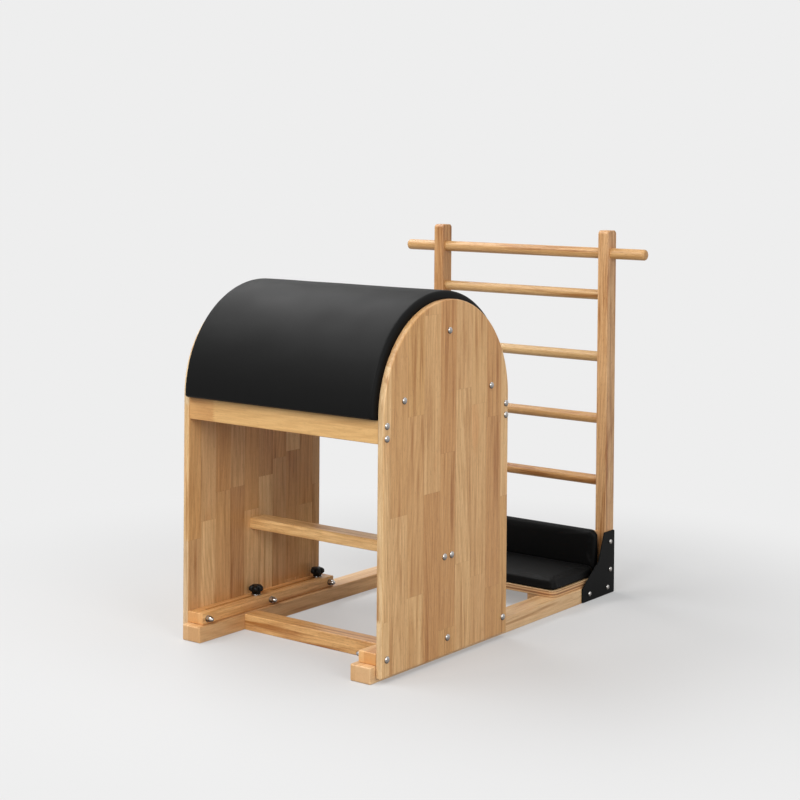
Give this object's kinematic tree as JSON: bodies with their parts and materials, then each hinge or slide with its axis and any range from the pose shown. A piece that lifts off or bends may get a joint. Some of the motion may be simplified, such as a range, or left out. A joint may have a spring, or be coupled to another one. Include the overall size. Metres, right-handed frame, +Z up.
{
  "type": "ladder barrel",
  "caption": "Padded half barrel on arched wooden side panels that slides along a floor base towards a ladder with a cushioned foot rest.",
  "frame": {"origin": "on the floor, at the bottom centre of the whole object's box", "axes": "+Z up, +Y from the barrel to the ladder, +X to the right as seen from the barrel's front"},
  "size_m": [0.804, 1.087, 1],
  "materials": {
    "panel_wood": "satin clear lacquer over upright rubberwood staves",
    "rail_wood": "satin clear lacquer",
    "pad_cover": "smooth black leatherette with a soft sheen",
    "corner_plate": "matt black powder coat",
    "fastener": "bright nickel",
    "star_knob": "moulded black"
  },
  "bodies": {
    "base": {"back_board": "panel_wood", "front_crossbeam": "rail_wood", "rear_crossbeam": "rail_wood", "foot_board": "rail_wood", "top_rung": "rail_wood", "rung_1": "rail_wood", "rung_2": "rail_wood", "rung_3": "rail_wood", "rung_4": "rail_wood", "right_beam": "rail_wood", "right_upright": "rail_wood", "right_batten": "rail_wood", "left_beam": "rail_wood", "left_upright": "rail_wood", "left_batten": "rail_wood", "seat_pad": "pad_cover", "back_pad": "pad_cover", "right_corner_plate": "corner_plate", "left_corner_plate": "corner_plate"},
    "barrel": {"right_panel": "panel_wood", "left_panel": "panel_wood", "front_apron": "rail_wood", "rear_apron": "rail_wood", "mid_stretcher": "rail_wood", "right_former": "panel_wood", "left_former": "panel_wood", "middle_former": "panel_wood", "barrel_shell": "panel_wood", "barrel_pad": "pad_cover", "right_cleat": "rail_wood", "left_cleat": "rail_wood", "right_apron_bolt_1": "fastener", "right_apron_bolt_2": "fastener", "right_apron_bolt_3": "fastener", "right_apron_bolt_4": "fastener", "left_apron_bolt_1": "fastener", "left_apron_bolt_2": "fastener", "left_apron_bolt_3": "fastener", "left_apron_bolt_4": "fastener", "right_stretcher_bolt_1": "fastener", "right_stretcher_bolt_2": "fastener", "left_stretcher_bolt_1": "fastener", "left_stretcher_bolt_2": "fastener", "right_former_bolt_1": "fastener", "right_former_bolt_2": "fastener", "right_former_bolt_3": "fastener", "left_former_bolt_1": "fastener", "left_former_bolt_2": "fastener", "left_former_bolt_3": "fastener", "right_cleat_bolt_1": "fastener", "right_cleat_bolt_2": "fastener", "right_cleat_bolt_3": "fastener", "left_cleat_bolt_1": "fastener", "left_cleat_bolt_2": "fastener", "left_cleat_bolt_3": "fastener"},
    "right_front_knob": {"right_front_knob": "star_knob"},
    "right_rear_knob": {"right_rear_knob": "star_knob"},
    "left_front_knob": {"left_front_knob": "star_knob"},
    "left_rear_knob": {"left_rear_knob": "star_knob"}
  },
  "joints": [
    {"name": "barrel_slide", "type": "slide", "parent": "base", "child": "barrel", "axis": [0, 1, 0], "range_m": [0, 0.184]},
    {"name": "right_front_knob_turn", "type": "hinge", "parent": "base", "child": "right_front_knob", "pos_m": [0.271, -0.2985, 0.08], "axis": [0, 0, 1], "continuous": true},
    {"name": "right_rear_knob_turn", "type": "hinge", "parent": "base", "child": "right_rear_knob", "pos_m": [0.271, -0.0545, 0.08], "axis": [0, 0, 1], "continuous": true},
    {"name": "left_front_knob_turn", "type": "hinge", "parent": "base", "child": "left_front_knob", "pos_m": [-0.271, -0.2985, 0.08], "axis": [0, 0, 1], "continuous": true},
    {"name": "left_rear_knob_turn", "type": "hinge", "parent": "base", "child": "left_rear_knob", "pos_m": [-0.271, -0.0545, 0.08], "axis": [0, 0, 1], "continuous": true}
  ]
}
